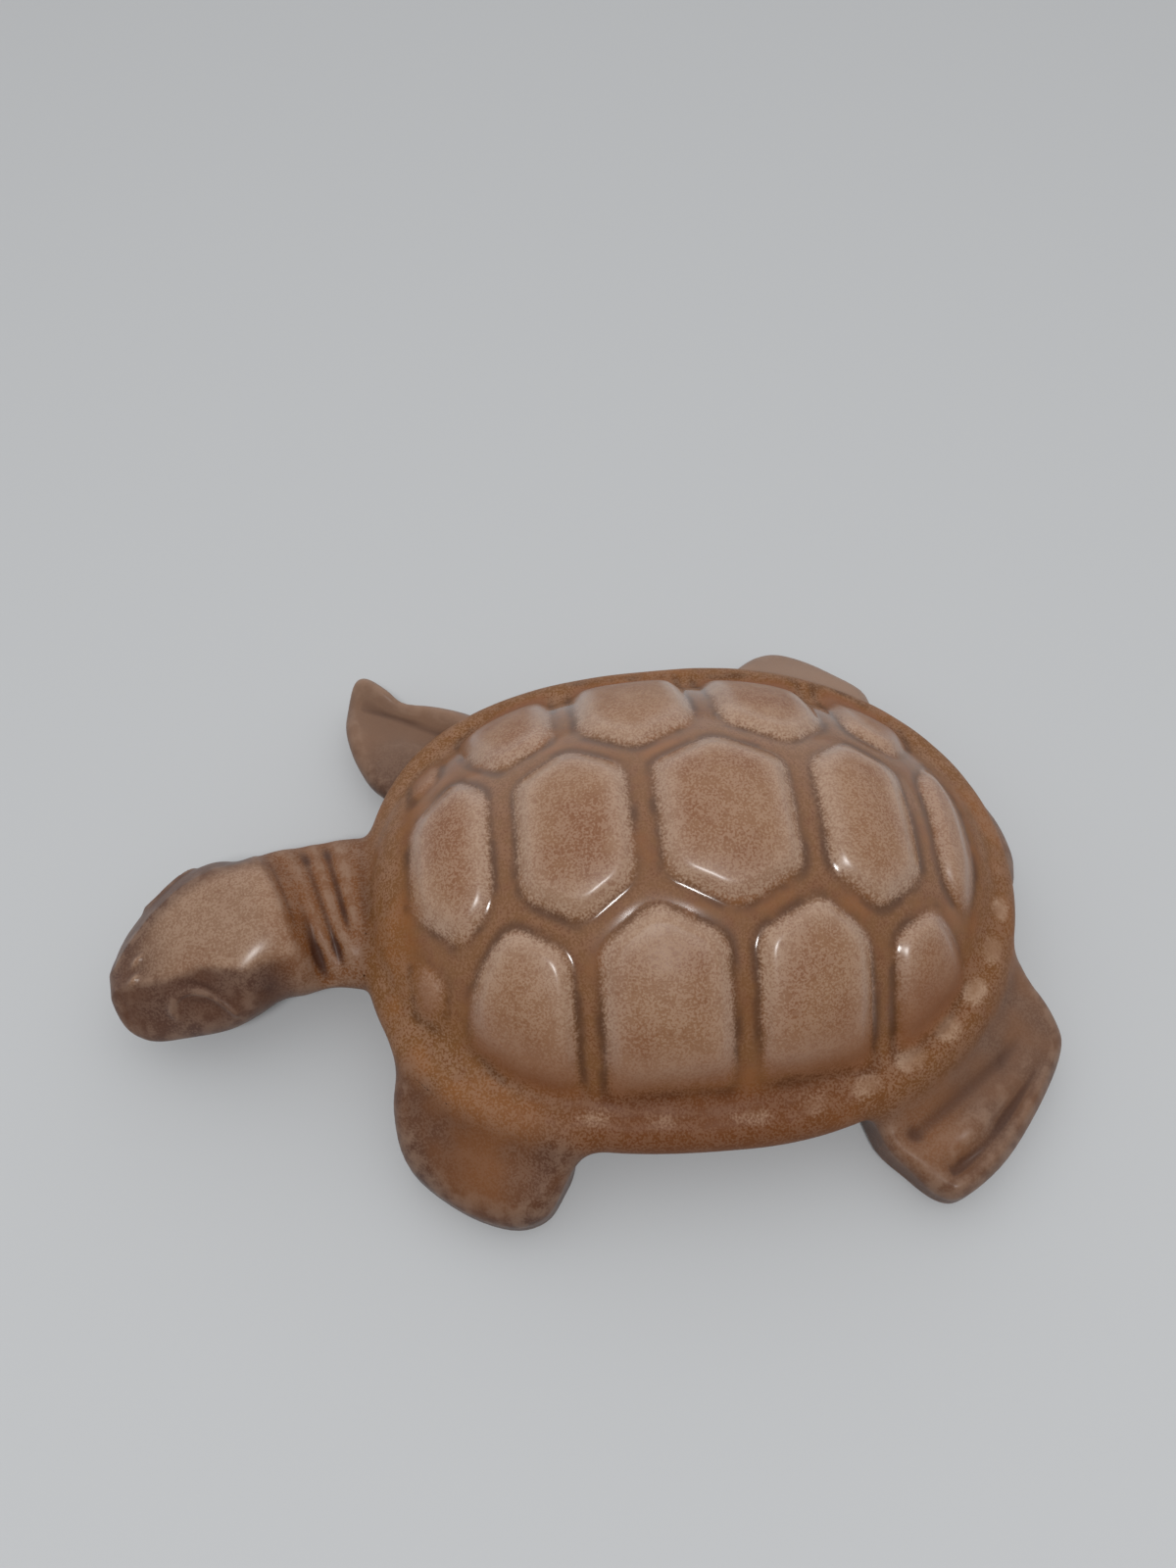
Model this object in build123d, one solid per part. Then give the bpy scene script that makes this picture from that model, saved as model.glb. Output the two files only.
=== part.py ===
from build123d import *
import os
from math import cos, radians, sin

# A slip-cast glazed turtle, made as eight castings that are luted together before firing.
# Millimetres. The head points to -X, the turtle's left is -Y, and the table is at z = 0.

# Driving dimensions of the shell in plan
widest_x = 3.7
shell_front = 58.7
shell_rear = 51.3
shell_half_width = 43.9
front_squareness = 2.58
rear_squareness = 2.04
outline_steps = 12

# The dome at the level of the groove floors
dome_x = -2.5
dome_top = 39.0
dome_rise = 49.0
dome_half_length = 64.0
dome_half_width = 45.0

# The rim stands on its seat. Its flange, and the rolled collar that bounds the dome, are drawn as
# steps of inset from the rim's plan and height above the seat
seat_z = 8.0
flange_steps = ((1.6, 0.0), (0.0, 4.0), (1.6, 7.2), (9.0, 8.5))
collar_steps = ((3.2, 0.0), (0.8, 8.2), (1.6, 10.8), (5.0, 14.5), (15.0, 25.0))
collar_top_inset = 20.0

# Shallow notches part the marginal scutes of the rim
notch_radius = 1.5
notch_depth = 0.7
notch_count = 11
notch_first = 9.0
notch_step = 10.6

# The cast wall, and the belly dish with its foot and drain hole
wall = 4.5
plastron_inset = 8.0
plastron_taper = 6.0
foot_round = 1.4
drain_x = 20.0
drain_diameter = 9.0

# Scutes: raised pads between grooves of one width
scute_height = 1.6
groove_width = 3.6
scute_corner = 1.8
scute_edge = 0.6
vertebral_front = -47.4
vertebral_rear = 47.0
vertebral_seams = (-30.2, -8.6, 16.6, 36.0)
seam_half_width = 10.8
side_points_x = (-37.6, -19.2, 4.0, 25.8, 42.0)
side_half_width = 17.4
end_half_width = 8.6
costal_half_width = 38.6
costal_drawn_in = 2.0
shoulder_point = (-40.0, 27.5)
shoulder_corner = (-48.2, 22.0)
costal_front = (-31.0, 35.6)
costal_rear = (36.0, 32.0)
hip_point = (43.6, 23.0)

# The head and neck: oval sections along a line that leaves the rim and turns to the turtle's left
head_turn = 18.0
neck_offset = 1.0
neck_length = 12.7
root_half_width = 12.6
root_half_height = 6.4
collar_half_width = 13.4
collar_half_height = 7.4
collar_lift = 10.0
neck_half_width = 13.6
neck_half_height = 8.9
neck_lift = 12.4
head_length = 29.4
cheek_place = 8.0
head_half_width = 13.6
head_half_height = 10.5
head_lift = 13.0
face_place = 17.0
face_half_width = 12.9
face_half_height = 9.5
face_lift = 12.0
muzzle_half_width = 11.2
muzzle_half_height = 7.2
muzzle_lift = 11.2
muzzle_round = 5.0

# The crown plate slopes to the nose between two brows, and the temples fall away outside them
crown_height = 22.4
crown_fall = 0.36
brow_place = 6.0
brow_half_width = 9.4
brow_narrowing = 0.36
brow_round = 2.4
temple_fall = 0.9

# A low eye on each temple, and wrinkles across the nape
eye_place = 15.5
eye_across = 8.8
eye_lift = 13.0
eye_radii = (3.0, 3.6, 5.2)
wrinkle_places = (-2.2, -5.8, -8.8)
wrinkle_size = 0.1
wrinkle_standing = 1.05

# Flippers and tail: the outline in plan, the height of the underside, the height of the top where it
# leaves the rim, its fall for each millimetre outward, and the rounding of the edge
limbs = {
    "front_left_flipper": (
        ((-43.0, -20.0), (-50.4, -28.0), (-51.0, -34.2), (-48.4, -41.4), (-41.0, -47.9), (-33.4, -51.2),
         (-28.0, -50.5), (-24.0, -46.8), (-19.6, -42.4), (-20.0, -30.0)), 0.0, 13.2, 0.55, 2.6),
    "front_right_flipper": (
        ((-44.0, 22.0), (-53.2, 26.6), (-57.4, 32.8), (-59.6, 40.0), (-59.4, 46.2), (-57.2, 49.9),
         (-54.6, 50.3), (-51.4, 47.4), (-47.6, 44.2), (-37.0, 42.4), (-30.0, 36.0)), 2.0, 9.0, 0.06, 2.4),
    "rear_left_flipper": (
        ((49.0, -15.0), (55.4, -21.4), (58.2, -27.6), (57.7, -32.0), (52.6, -39.4), (44.8, -47.7),
         (37.4, -52.5), (33.4, -52.7), (29.2, -49.0), (24.6, -42.6), (26.0, -32.0)), 0.0, 11.4, 0.31, 3.2),
    "rear_right_flipper": (
        ((16.0, 34.0), (14.0, 43.6), (18.0, 49.2), (23.0, 51.6), (28.0, 50.4), (34.0, 46.0), (40.0, 39.0),
         (36.0, 30.0)), 0.0, 11.4, 0.43, 3.0),
    "tail": (
        ((46.0, -6.0), (55.6, -4.0), (58.6, 1.0), (59.0, 6.0), (57.4, 12.0), (53.0, 17.0), (44.0, 14.0)),
        2.6, 10.2, 0.6, 1.6),
}
skirt_reach = 24.0
skirt_inset = 24.0

# The crease along the root of the rear left flipper
crease_start = (27.0, -42.6)
crease_end = (60.0, -28.0)
crease_height = 9.2
crease_radius = 3.0
crease_depth = 0.9

# Sizes that follow: the neck runs in under the rim as far as the belly dish
neck_root = plastron_inset + wall
table_room = 2 * (shell_front + shell_rear)


def rim_point(angle, inset=0.0):
    """A point of the rim's plan: 0 degrees is the tail, 90 the right side, 180 the neck."""
    c, s = cos(radians(angle)), sin(radians(angle))
    power = 2 / (front_squareness if c < 0 else rear_squareness)
    reach = (shell_front if c < 0 else shell_rear) - inset
    across = shell_half_width - inset
    x = reach * abs(c) ** power * (1 if c >= 0 else -1)
    y = across * abs(s) ** power * (1 if s >= 0 else -1)
    return Vector(widest_x + x, y)


def rim_outline(inset, z):
    """The rim's plan drawn in by inset, as a face at height z."""
    step = 360 / outline_steps
    points = [rim_point(step * i, inset) + Vector(0, 0, z) for i in range(outline_steps)]
    return make_face(Spline(*points, periodic=True))


def dome(grow):
    """The ellipsoid that the dome is the cap of, grown by a thickness."""
    radii = (dome_half_length + grow, dome_half_width + grow, dome_rise + grow)
    ball = Rot(0, 90, 0) * Rot(90, 0, 0) * Sphere(1)
    return Pos(dome_x, 0, dome_top - dome_rise) * scale(ball, by=radii)


def column(face):
    """An upright column on a face, taller than the shell."""
    return extrude(face, dome_top + wall, dir=(0, 0, 1))


def shell_block():
    """The carapace with no hollow: the rim's flange, and the dome inside the rolled collar."""
    flange = loft([rim_outline(inset, seat_z + rise) for inset, rise in flange_steps])
    steps = [rim_outline(inset, seat_z + rise) for inset, rise in collar_steps]
    collar = loft(steps + [rim_outline(collar_top_inset, dome_top + wall)])
    return flange + (dome(0) & collar)


def scute_plans():
    """The scutes' corners in plan, on the centre lines of the grooves, right side first."""
    seams = [(x, seam_half_width) for x in vertebral_seams]
    sides = [(x, side_half_width) for x in side_points_x]
    nose, tail = (vertebral_front, end_half_width), (vertebral_rear, end_half_width)
    outer = [(side_points_x[1], costal_half_width), (side_points_x[2], costal_half_width),
             (side_points_x[3], costal_half_width - costal_drawn_in)]
    right = [
        [nose, sides[0], shoulder_point, shoulder_corner],
        [seams[0], sides[0], shoulder_point, costal_front, outer[0], sides[1]],
        [seams[1], sides[1], outer[0], outer[1], sides[2]],
        [seams[2], sides[2], outer[1], outer[2], sides[3]],
        [seams[3], sides[3], outer[2], costal_rear, hip_point, sides[4]],
    ]
    left = [[(x, -y) for x, y in plan] for plan in right]
    middle = []
    ends = [nose] + seams + [tail]
    for front, side, rear in zip(ends, sides, ends[1:]):
        half = [front, side, rear]
        middle.append(half + [(x, -y) for x, y in reversed(half)])
    return right + left + middle


def scute(plan):
    """One raised pad: the grown dome over its plan, with a soft upper edge."""
    face = offset(make_face(Polyline(*plan, close=True)), -groove_width / 2 - scute_corner)
    face = offset(face, scute_corner)
    pad = dome(scute_height) & column(Pos(0, 0, seat_z) * face)
    top = pad.faces().sort_by(Axis.Z)[-1]
    return fillet(top.edges(), scute_edge)


def rim_notches():
    """The shallow grooves that part the marginal scutes, along both sides and the rear."""
    (lip_inset, lip_rise), (inner_inset, inner_rise) = flange_steps[-2:]
    notches = []
    for i in range(notch_count):
        for side in (1, -1):
            angle = side * (notch_first + notch_step * i)
            lip = rim_point(angle, lip_inset) + Vector(0, 0, seat_z + lip_rise)
            run = rim_point(angle, inner_inset) + Vector(0, 0, seat_z + inner_rise) - lip
            start = lip - run.normalized() * notch_radius * 2 + Vector(0, 0, notch_radius - notch_depth)
            notches.append(extrude(Plane(start, z_dir=run) * Circle(notch_radius), run.length))
    return notches


def section_plane(origin, heading):
    """A plane square to a heading in plan, its x across and its y up."""
    z_dir = Vector(cos(radians(heading)), sin(radians(heading)), 0)
    return Plane(origin, x_dir=Vector(0, 0, 1).cross(z_dir), z_dir=z_dir)


def ahead(start, heading, run, lift):
    """A point at a run from start along a heading in plan, lifted off the table."""
    return start + Vector(cos(radians(heading)), sin(radians(heading))) * run + Vector(0, 0, lift)


def collar_point():
    """Where the neck's line crosses the rim, in plan."""
    return rim_point(180) + Vector(0, neck_offset)


def nape_point():
    """Where the neck ends and the head begins, in plan."""
    return ahead(collar_point(), 180 + head_turn / 2, neck_length, 0)


def on_head(place, lift):
    """A plane across the head's own line, at a run from the nape."""
    return section_plane(ahead(nape_point(), 180 + head_turn, place, lift), 180 + head_turn)


def head_rows():
    """The ovals of the head and neck from root to muzzle: plane, half width and half height."""
    collar, nape = collar_point(), nape_point()
    return [
        (section_plane(ahead(collar, 180, -neck_root, collar_lift), 180), root_half_width, root_half_height),
        (section_plane(ahead(collar, 180, 0, collar_lift), 180), collar_half_width, collar_half_height),
        (section_plane(ahead(nape, 0, 0, neck_lift), 180 + head_turn / 2), neck_half_width, neck_half_height),
        (on_head(cheek_place, head_lift), head_half_width, head_half_height),
        (on_head(face_place, face_lift), face_half_width, face_half_height),
        (on_head(head_length, muzzle_lift), muzzle_half_width, muzzle_half_height),
    ]


def head_loft(rows, thinner=0.0):
    """The head and neck through some of its ovals, drawn in by a wall."""
    return loft([plane * Ellipse(w - thinner, h - thinner) for plane, w, h in rows])


def crown_section(place):
    """What the head keeps at a place along it: under the crown plate and the temples, with round brows."""
    level = crown_height - crown_fall * (place - brow_place)
    brow = brow_half_width - brow_narrowing * (place - brow_place)
    low = level - temple_fall * (table_room - brow)
    over = [(-table_room, low), (-brow, level), (brow, level), (table_room, low)]
    face = make_face(Polyline(*over, close=True))
    return on_head(place, 0) * fillet(face.vertices().group_by(Axis.Y)[-1], brow_round)


def eye(side):
    """A low swelling on one temple."""
    return on_head(eye_place, eye_lift) * Pos(side * eye_across, 0, 0) * scale(Sphere(1), by=eye_radii)


def wrinkle(place):
    """A shallow fold across the top of the nape."""
    share = -place / neck_length
    lift = neck_lift + (collar_lift - neck_lift) * share
    tall = neck_half_height + (collar_half_height - neck_half_height) * share
    fold = scale(Torus(wrinkle_standing, wrinkle_size), by=(neck_half_width, tall, neck_half_width))
    return on_head(place, lift) * fold & Pos(0, 0, lift) * above_table


def skirt(height, fall):
    """A cone round the shell: the tops of the limbs lie on it."""
    low, high = height - fall * skirt_reach, height + fall * skirt_inset
    return loft([rim_outline(-skirt_reach, -skirt_reach), rim_outline(-skirt_reach, low),
                 rim_outline(skirt_inset, high)], ruled=True)


def limb(outline, underside, height, fall, edge_round):
    """A flipper or the tail: its outline raised to the skirt, with rounded edges."""
    body = extrude(Pos(0, 0, underside) * make_face(Spline(*outline, periodic=True)), dome_top, dir=(0, 0, 1))
    body = body & skirt(height, fall)
    faces = body.faces().sort_by(Axis.Z)
    edges = faces[-1].edges()
    if underside > 0:
        edges = edges + faces[0].edges()
    return fillet(edges, edge_round)


def crease():
    """The bar that the rear left flipper's crease is cut with."""
    level = crease_height + crease_radius - crease_depth
    start, end = Vector(*crease_start, level), Vector(*crease_end, level)
    return extrude(Plane(start, z_dir=end - start) * Circle(crease_radius), (end - start).length)


above_table = Box(table_room, table_room, dome_top, align=(Align.CENTER, Align.CENTER, Align.MIN))
block = shell_block()
pads = [scute(plan) for plan in scute_plans()]
hollow = dome(-wall) & column(rim_outline(plastron_inset + wall, seat_z))
inner_taper = plastron_taper * (1 - wall / seat_z)
dish_block = loft([rim_outline(plastron_inset + plastron_taper, 0), rim_outline(plastron_inset, seat_z)])
dish_block = fillet(dish_block.edges().sort_by(Axis.Z)[0], foot_round)
dish_hollow = loft([rim_outline(plastron_inset + wall + inner_taper, wall),
                    rim_outline(plastron_inset + wall, seat_z)])
crown = loft([crown_section(-head_length), crown_section(head_length)], ruled=True)
head_block = head_loft(head_rows())
head_block = fillet(head_block.faces().sort_by(Axis.X)[0].edges(), muzzle_round) & crown
head_hollow = head_loft(head_rows()[:4], wall)
head = head_block + [eye(side) for side in (1, -1)]
head = head - [wrinkle(place) for place in wrinkle_places]

carapace = block + pads
carapace = carapace - rim_notches() - hollow - head_block
plastron = dish_block - dish_hollow - head_block
plastron -= Pos(drain_x, 0, 0) * Cylinder(drain_diameter / 2, 2 * seat_z)
flippers = {name: limb(*form) for name, form in limbs.items()}
flippers["rear_left_flipper"] -= crease()

pieces = {
    "carapace": carapace,
    "plastron": plastron,
    "head_and_neck": head - head_hollow,
}
for name, flipper in flippers.items():
    pieces[name] = flipper - block - dish_block

os.makedirs("parts", exist_ok=True)
for name, piece in pieces.items():
    print(name, len(piece.solids()), round(piece.volume), piece.is_valid)
    export_step(piece, f"parts/{name}.step")
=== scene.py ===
import math

import bpy
import numpy as np
from mathutils import Matrix, Vector


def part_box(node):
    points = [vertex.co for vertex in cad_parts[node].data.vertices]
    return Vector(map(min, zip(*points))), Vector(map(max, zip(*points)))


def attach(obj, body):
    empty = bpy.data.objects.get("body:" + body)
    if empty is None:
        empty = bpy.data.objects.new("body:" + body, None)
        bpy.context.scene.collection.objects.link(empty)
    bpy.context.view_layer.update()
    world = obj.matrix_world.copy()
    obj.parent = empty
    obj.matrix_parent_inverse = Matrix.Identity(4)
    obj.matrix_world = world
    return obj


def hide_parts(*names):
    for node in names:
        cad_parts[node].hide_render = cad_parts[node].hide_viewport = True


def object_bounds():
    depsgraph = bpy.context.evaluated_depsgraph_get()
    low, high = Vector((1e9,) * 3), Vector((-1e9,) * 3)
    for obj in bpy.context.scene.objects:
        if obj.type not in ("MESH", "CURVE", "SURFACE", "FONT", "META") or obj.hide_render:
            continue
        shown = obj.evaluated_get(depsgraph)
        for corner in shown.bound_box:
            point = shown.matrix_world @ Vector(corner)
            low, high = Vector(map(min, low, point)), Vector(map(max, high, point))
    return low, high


# A glazed earthenware turtle. Its skin is one field of distances, in millimetres, that is meshed once
# and parted into the pieces of the frame. The head points to -X and the turtle's left is -Y.

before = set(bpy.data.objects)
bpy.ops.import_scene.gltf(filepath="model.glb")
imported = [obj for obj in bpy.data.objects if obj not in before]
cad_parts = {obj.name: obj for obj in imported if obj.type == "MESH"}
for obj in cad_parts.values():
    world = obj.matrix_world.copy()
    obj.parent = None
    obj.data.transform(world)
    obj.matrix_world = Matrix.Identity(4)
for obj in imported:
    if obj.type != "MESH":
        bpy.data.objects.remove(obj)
cad_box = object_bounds()
metre = 1000.0

# Small values that keep a division from zero
axis_guard = 1e-4
centre_guard = 1e-6
level_guard = 1e-9

# The shell's plan and dome
shell_low, shell_high = (np.array(corner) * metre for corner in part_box("carapace"))
widest_x = 3.7
shell_front = 58.7
shell_rear = shell_high[0] - widest_x
half_width = shell_high[1]
front_squareness = 2.58
rear_squareness = 2.04
seat_z = shell_low[2]
dome_centre = np.array((-2.5, 0.0, -10.0))
dome_radii = np.array((64.0, 45.0, 49.0))
collar_inset = 0.8
collar_round = 6.0
seat_round = 2.0

# The rim's flange is a rounded lip along a line in the rim's own section
lip_radius = 4.0
lip_height = 12.1
lip_run = 10.0
lip_rise = 0.7
lip_blend = 2.6

# Scutes are pillows between grooves. The front corner ones, first in the list of plans, are faint
groove_width = 3.5
scute_height = 1.3
scute_shoulder = (-0.4, 2.8)
scute_corner = 2.4
faint_scute = 0
faint_height = 0.55
faint_fade = 0.5
pillow_height = 0.8
pillow_reach = 9.0
trench_depth = 0.06
trench_width = 1.2
vertebral_front = -47.4
vertebral_rear = 47.0
vertebral_seams = (-30.2, -8.6, 16.6, 36.0)
seam_half_width = 10.8
side_points_x = (-37.6, -19.2, 4.0, 25.8, 42.0)
side_half_width = 17.4
end_half_width = 8.6
costal_half_width = 38.6
costal_drawn_in = 2.0
far_stretch = 0.15
shoulder_point = (-40.0, 27.5)
shoulder_corner = (-48.2, 22.0)
costal_front = (-31.0, 35.6)
costal_rear = (36.0, 32.0)
hip_point = (43.6, 23.0)

# Marginal pads sit on the rim along both sides and the rear
marginal_first = math.radians(9.0)
marginal_step = math.radians(10.6)
marginal_last = math.radians(118.0)
marginal_height = 0.35
marginal_gap = 2.4
marginal_inset = 3.8
marginal_half_run = 2.0
marginal_soft = (-2.0, 2.4)
marginal_fade = 0.1
marginal_rise = (-1.0, 2.0)

# The belly dish, the casting's hollow and its drain hole
wall = 4.5
plastron_inset = 8.0
plastron_taper = 6.0
plastron_blend = 1.2
foot_round = 2.4
hollow_round = 4.0
drain_x = 20.0
drain_radius = 4.5
drain_round = 0.8

# The neck, along a line that leaves the shell and turns to the turtle's left
neck_start = (-50.0, 1.9)
neck_arc = 18.0
head_turn = math.radians(18.0)
neck_half_width = 13.0
neck_shift = 0.1
neck_flare = 1.8
neck_flare_run = (15.0, 3.0)
neck_heights = (9.4, 12.4)
neck_half_heights = (7.2, 8.6)
neck_swell = (-2.0, 20.0)
neck_end = 24.0
neck_blend = 1.8
nape_blend = 1.6

# Nape wrinkles: the place along the neck, width, depth, and the left and right ends
wrinkles = ((15.0, 2.2, 2.0, -12.0, 4.0), (11.4, 1.7, 1.5, -8.0, 7.0), (8.4, 1.4, 1.1, -3.0, 8.0))
wrinkle_taper = 8.0
wrinkle_slant = 0.12

# The cranium and the muzzle, each as a centre and radii, and the flat under the jaw
cranium = ((26.0, 0.6, 13.0), (15.0, 12.9, 10.6))
muzzle = ((36.7, 0.0, 11.4), (11.4, 12.3, 9.0))
muzzle_skew = 0.15
muzzle_bluntness = 4.2
cheek_blend = 6.0
jaw_z = 3.6
jaw_round = 5.0
head_start_x = -36.0
clear_of_head = 6.0
relief_heights = (11.0, 16.0)

# The crown plate, which falls forward, bulges and rolls to the left between its brows
crown_start = 24.0
crown_height = 22.4
crown_fall = 0.36
crown_dish = 0.4
crown_dish_width = 5.0
crown_edge = 3.0
crown_bulge = 1.0
crown_bulge_place = 33.0
crown_bulge_reach = 6.0
crown_roll = 0.035
crown_roll_place = (35.0, 2.0)
crown_roll_reach = 6.0
brow_places = (18.0, 26.0, 32.0, 38.0, 43.0, 46.0)
brow_half_widths = (9.0, 9.0, 5.4, 4.2, 2.4, 1.4)
far_brow_half_widths = (9.6, 10.0, 9.0, 7.0, 4.4, 2.4)
plate_rear = 17.0
plate_curve = 0.008
plate_skew = 0.06
plate_step = 0.8
plate_soft = 1.4

# Temples, eyes and nostrils, in run and height or in run and offset
temple_slope = 0.9
temple_hollow = (22.5, 12.0)
temple_reach = (3.2, 2.4)
temple_depth = 0.7
eye_place = (34.4, 12.8)
eye_reach = (4.8, 3.2)
eye_tilt = 0.1
eye_height = 0.6
eye_spread = 1.1
eye_sides = (3.0, 6.0)
lid_height = 0.4
lid_width = 0.12
lid_rise = (-0.6, 0.9)
nostril_place = (42.4, -0.35)
nostril_spread = 1.4
nostril_skew = 0.5
nostril_reach = (1.1, 0.8)
nostril_height = 0.5

# Flippers and tail: outlines in plan
outlines = {
    "front_left_flipper": ((-43.0, -20.0), (-49.4, -28.0), (-50.5, -34.2), (-48.4, -41.4),
                           (-41.0, -47.9), (-33.4, -51.2), (-28.0, -50.5), (-24.8, -46.8),
                           (-22.6, -42.0), (-21.0, -30.0)),
    "front_right_flipper": ((-44.0, 22.0), (-53.2, 26.6), (-57.4, 32.8), (-59.6, 40.0),
                            (-59.4, 46.2), (-57.2, 49.9), (-54.6, 50.3), (-51.4, 47.4),
                            (-47.6, 44.2), (-37.0, 42.4), (-30.0, 36.0)),
    "rear_left_flipper": ((49.0, -15.0), (55.4, -21.4), (58.2, -27.6), (57.7, -32.0),
                          (52.6, -39.4), (44.8, -47.7), (37.4, -52.5), (33.4, -52.7),
                          (29.2, -49.0), (24.6, -42.6), (26.0, -32.0)),
    "rear_right_flipper": ((16.0, 34.0), (14.0, 43.6), (18.0, 49.2), (23.0, 51.6),
                           (28.0, 50.4), (34.0, 46.0), (40.0, 39.0), (36.0, 30.0)),
    "tail": ((46.0, -6.0), (55.6, -4.0), (58.6, 1.0), (59.0, 6.0),
             (57.4, 12.0), (53.0, 17.0), (44.0, 14.0)),
}
outline_samples = 5

# For each limb in that order: the blend into the shell, the underside's height and the edge's radius
limb_blends = dict(zip(outlines, (5.0, 3.0, 3.4, 2.4, 1.6)))
limb_bases = dict(zip(outlines, (0.0, 2.0, 0.0, 0.0, 2.6)))
limb_edges = dict(zip(outlines, (2.6, 2.6, 2.4, 3.0, 2.2)))

# The fall of each limb's top: its height at the rim and at the tip, the reach between them and the bend
limb_falls = dict(zip(outlines, (
    (13.5, 5.2, 15.0, 1.2),
    (7.4, 7.4, 15.0, 1.0),
    (11.6, 7.2, 14.0, 0.9),
    (11.6, 6.4, 12.0, 0.9),
    (10.5, 7.0, 5.0, 1.0),
)))

# The front right flipper: a ridge along its trailing edge, a hollow in front of it, a pad and a curled tip
blade_line = ((-43.0, 41.8), (-55.4, 48.6))
blade_ridge_height = 2.4
blade_ridge_width = 2.6
blade_hollow_depth = 1.2
blade_hollow_offset = 5.0
blade_hollow_width = 3.2
blade_pad_place = (-46.0, 35.0)
blade_pad_height = 0.9
blade_pad_reach = 4.5
blade_curl = 0.9
blade_curl_run = (8.0, 19.0)

# The rear left flipper: a crease along its root, a rolled outer edge, a valley inside the roll and a pad
crease_line = ((32.4, -42.2), (49.9, -31.0))
crease_depth = 1.5
crease_width = 2.3
crease_fade = (0.5, 5.0)
crease_end_x = (54.0, 46.0)
roll_start = (3.0, 7.0)
roll_start_x = (32.0, 37.0)
roll_height = 0.7
roll_inset = 1.8
roll_width = 1.4
valley_depth = 1.0
valley_inset = 4.0
valley_width = 1.7
paddle_pad_place = (40.4, -44.2)
paddle_pad_height = 1.3
paddle_pad_reach = 4.0

# Fineness of the mesh
coarse_step = 2.0
fine_factor = 5
room = 3.0
block_points = 400000
relax_rounds = 8
project_rounds = 3
probe = 0.08
curve_probe = 0.9
least_slope = 0.05

piece_names = ["head_and_neck", "carapace", "plastron"] + list(outlines)
slots = {name: "skin_glaze" for name in piece_names}
slots["carapace"] = "shell_glaze"
slots["plastron"] = "base_clay"


# Shapes of distance


def smooth_min(a, b, k):
    """The lesser of two distances, with a fillet of size k where they cross."""
    overlap = np.maximum(k - np.abs(a - b), 0) / k
    return np.minimum(a, b) - overlap * overlap * k / 4


def smooth_max(a, b, k):
    """The greater of two distances, with a rounding of size k where they cross."""
    return -smooth_min(-a, -b, k)


def smooth_step(value, start, end):
    """0 at start and 1 at end, with level ends."""
    t = np.clip((value - start) / (end - start), 0, 1)
    return t * t * (3 - 2 * t)


def bell(value, width=1.0):
    """1 at zero, falling away over a width."""
    return np.exp(-(value / width) ** 2)


def spot(x, y, place, reach):
    """1 at a place of the plan, falling away all round over a reach."""
    return bell(np.hypot(x - place[0], y - place[1]), reach)


def ellipsoid(a, b, c, centre, radii):
    """About the distance to an ellipsoid."""
    q = [(v - m) / r for v, m, r in zip((a, b, c), centre, radii)]
    k0 = np.sqrt(sum(v * v for v in q))
    k1 = np.sqrt(sum((v / r) ** 2 for v, r in zip(q, radii)))
    return k0 * (k0 - 1) / np.maximum(k1, centre_guard)


# The shell


def rim_plan(x, y):
    """Signed distance in plan to the rim, negative inside, and the angle round the rim from the tail."""
    front = x < widest_x
    reach = np.where(front, shell_front, shell_rear)
    power = np.where(front, front_squareness, rear_squareness)
    u = np.abs(x - widest_x) / reach + axis_guard
    v = np.abs(y) / half_width + axis_guard
    un, vn = u ** power, v ** power
    total = un + vn
    size = total ** (1 / power)
    steepness = np.hypot(un / u / reach, vn / v / half_width) * size / total
    angle = np.arctan2(np.sqrt(vn), np.where(front, -1, 1) * np.sqrt(un))
    return (size - 1) / steepness, angle


def scute_plans():
    """The scutes' corners in plan, on the centre lines of the grooves: right costals, then vertebrals."""
    seams = [(x, seam_half_width) for x in vertebral_seams]
    sides = [(x, side_half_width) for x in side_points_x]
    nose, tail = (vertebral_front, end_half_width), (vertebral_rear, end_half_width)
    outer = [(side_points_x[1], costal_half_width), (side_points_x[2], costal_half_width),
             (side_points_x[3], costal_half_width - costal_drawn_in)]
    plans = [
        [nose, sides[0], shoulder_point, shoulder_corner],
        [seams[0], sides[0], shoulder_point, costal_front, outer[0], sides[1]],
        [seams[1], sides[1], outer[0], outer[1], sides[2]],
        [seams[2], sides[2], outer[1], outer[2], sides[3]],
        [seams[3], sides[3], outer[2], costal_rear, hip_point, sides[4]],
    ]
    ends = [nose] + seams + [tail]
    for front, side, rear in zip(ends, sides, ends[1:]):
        half = [front, side, rear]
        plans.append(half + [(x, -y) for x, y in reversed(half)])
    return [np.array(plan) for plan in plans]


def edge_lines(plan):
    """Each edge of a convex plan as an inward normal and its offset."""
    middle = plan.mean(0)
    lines = []
    for start, end in zip(plan, np.roll(plan, -1, 0)):
        normal = np.array((start[1] - end[1], end[0] - start[0])) / np.linalg.norm(end - start)
        normal *= np.sign((middle - start) @ normal)
        lines.append((normal, normal @ start))
    return lines


scute_lines = [edge_lines(plan) for plan in scute_plans()]


def scute_depth(x, y):
    """How far a point of the plan lies inside its scute, negative in a groove, and the scute's number."""
    across = np.abs(y) - far_stretch * np.maximum(y - side_half_width, 0)
    deepest = np.full(x.shape, -groove_width)
    number = np.zeros(x.shape, int)
    for place, lines in enumerate(scute_lines):
        inside = None
        for (nx, ny), offset in lines:
            depth = nx * x + ny * across - offset
            inside = depth if inside is None else smooth_min(inside, depth, scute_corner)
        number = np.where(inside > deepest, place, number)
        deepest = np.maximum(deepest, inside)
    return deepest - groove_width / 2, number


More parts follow.
